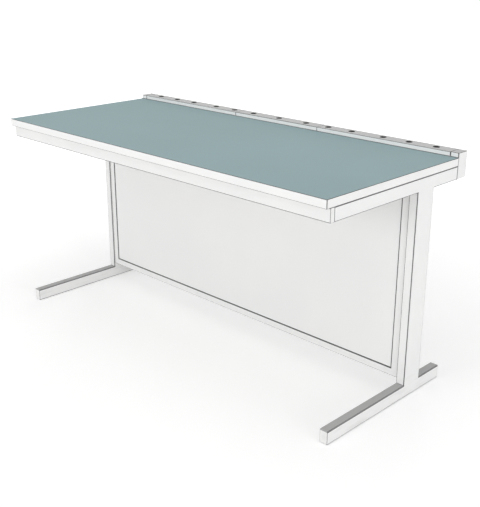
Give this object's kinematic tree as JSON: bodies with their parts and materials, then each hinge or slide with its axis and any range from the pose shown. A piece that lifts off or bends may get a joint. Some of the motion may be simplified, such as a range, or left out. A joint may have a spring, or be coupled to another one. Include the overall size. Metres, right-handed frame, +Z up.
{
  "type": "lab bench",
  "caption": "Lab bench: laminated worktop on welded C-shaped steel side frames, with a framed back panel and a low rear service duct with lift-off lids and round outlets.",
  "frame": {"origin": "on the floor, under the centre of the bench's outer box", "axes": "+X along the bench to the user's right, +Y from the user towards the service duct, +Z up"},
  "size_m": [1.8, 0.81, 0.9],
  "materials": {
    "frame_paint": "near-white satin powder coat",
    "laminate": "grey-blue high pressure laminate, fine matt texture",
    "core_board": "raw chipboard",
    "edge_band": "near-white satin edge band",
    "panel_board": "near-white melamine-faced board",
    "end_cap": "near-white moulded plastic",
    "foot_strip": "mid-grey ribbed plastic",
    "duct_lid": "light-grey satin paint",
    "post_cap": "light-grey moulded plastic",
    "seal_rubber": "dark grey rubber",
    "outlet": "black moulded plastic",
    "zinc_steel": "zinc-plated steel"
  },
  "bodies": {
    "bench": {"worktop_core": "core_board", "worktop_laminate": "laminate", "edge_band_front": "edge_band", "edge_band_left": "edge_band", "edge_band_right": "edge_band", "left_arm": "frame_paint", "left_upright": "frame_paint", "left_foot": "frame_paint", "left_foot_cap_front": "end_cap", "left_foot_cap_rear": "end_cap", "left_foot_strip_front": "foot_strip", "left_foot_strip_rear": "foot_strip", "right_arm": "frame_paint", "right_upright": "frame_paint", "right_foot": "frame_paint", "right_foot_cap_front": "end_cap", "right_foot_cap_rear": "end_cap", "right_foot_strip_front": "foot_strip", "right_foot_strip_rear": "foot_strip", "front_rail": "frame_paint", "front_rail_cap_left": "end_cap", "front_rail_cap_right": "end_cap", "middle_rail": "frame_paint", "rear_rail": "frame_paint", "worktop_bracket_left": "zinc_steel", "worktop_bracket_right": "zinc_steel", "panel_stile_left": "frame_paint", "panel_stile_right": "frame_paint", "panel_rail_bottom": "frame_paint", "panel_rail_top": "frame_paint", "panel_infill": "panel_board", "panel_gasket": "seal_rubber", "panel_clip_bottom_left": "zinc_steel", "panel_clip_bottom_right": "zinc_steel", "panel_clip_top_left": "zinc_steel", "panel_clip_top_right": "zinc_steel", "duct_tray": "frame_paint", "duct_post_left": "frame_paint", "duct_post_right": "frame_paint", "duct_post_cap_left": "post_cap", "duct_post_cap_right": "post_cap", "duct_fascia_left": "frame_paint", "duct_fascia_middle": "frame_paint", "duct_fascia_right": "frame_paint"},
    "lid_left": {"duct_lid_left": "duct_lid", "outlet_01": "outlet", "outlet_02": "outlet", "outlet_03": "outlet", "outlet_04": "outlet", "outlet_05": "outlet"},
    "lid_middle": {"duct_lid_middle": "duct_lid", "outlet_06": "outlet", "outlet_07": "outlet", "outlet_08": "outlet"},
    "lid_right": {"duct_lid_right": "duct_lid", "outlet_09": "outlet", "outlet_10": "outlet", "outlet_11": "outlet", "outlet_12": "outlet", "outlet_13": "outlet"}
  },
  "joints": [
    {"name": "lid_left_lift", "type": "slide", "parent": "bench", "child": "lid_left", "axis": [0, 0, 1], "range_m": [0, 0.08]},
    {"name": "lid_middle_lift", "type": "slide", "parent": "bench", "child": "lid_middle", "axis": [0, 0, 1], "range_m": [0, 0.08]},
    {"name": "lid_right_lift", "type": "slide", "parent": "bench", "child": "lid_right", "axis": [0, 0, 1], "range_m": [0, 0.08]}
  ]
}
